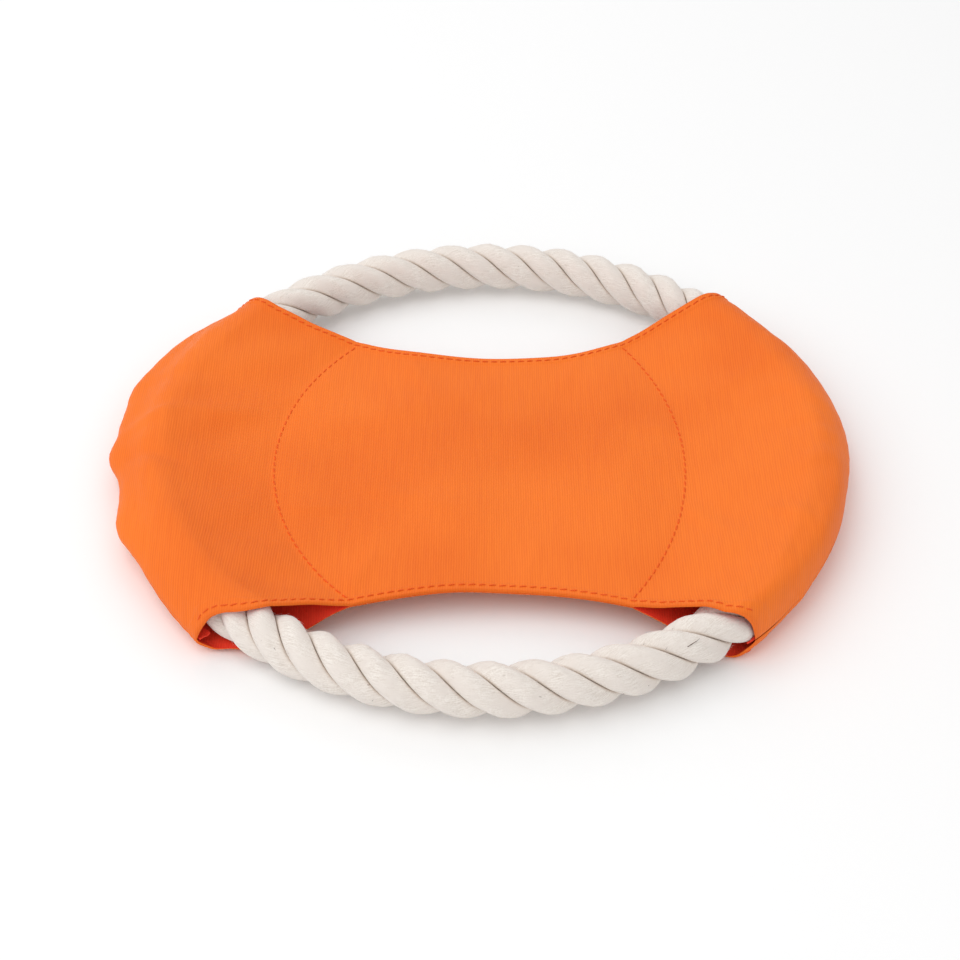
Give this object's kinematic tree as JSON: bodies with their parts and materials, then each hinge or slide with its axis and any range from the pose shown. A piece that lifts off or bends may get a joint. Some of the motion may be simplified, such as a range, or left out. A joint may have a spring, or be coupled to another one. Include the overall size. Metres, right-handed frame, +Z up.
{
  "type": "flying ring",
  "caption": "Throw and tug ring of twisted cotton rope that runs through the two sewn channels of an hourglass-shaped woven fabric cover.",
  "frame": {"origin": "centre of the rope ring, on the surface that the ring lies on", "axes": "+Z up through the ring, +X through the right covered side, -Y through the front rope grip"},
  "size_m": [0.184, 0.1767, 0.0161],
  "materials": {
    "cotton_rope": "undyed twisted cotton, matt and slightly fuzzy",
    "cotton_tape": "undyed cotton tape, matt",
    "woven_polyester": "bright orange fine-ribbed woven polyester with a soft sheen",
    "sewing_thread": "orange twisted polyester sewing thread"
  },
  "bodies": {
    "cover": {"top_panel": "woven_polyester", "bottom_panel": "woven_polyester", "top_front_hem_stitching": "sewing_thread", "top_back_hem_stitching": "sewing_thread", "bottom_front_hem_stitching": "sewing_thread", "bottom_back_hem_stitching": "sewing_thread", "left_channel_seam": "sewing_thread", "right_channel_seam": "sewing_thread", "left_side_seam": "sewing_thread", "right_side_seam": "sewing_thread"},
    "rope": {"rope_strand_1": "cotton_rope", "rope_strand_2": "cotton_rope", "rope_strand_3": "cotton_rope", "joint_tape": "cotton_tape"}
  },
  "joints": [
    {"name": "ring_turn", "type": "hinge", "parent": "cover", "child": "rope", "pos_m": [0, 0, 0.0078], "axis": [0, 0, 1], "continuous": true}
  ]
}
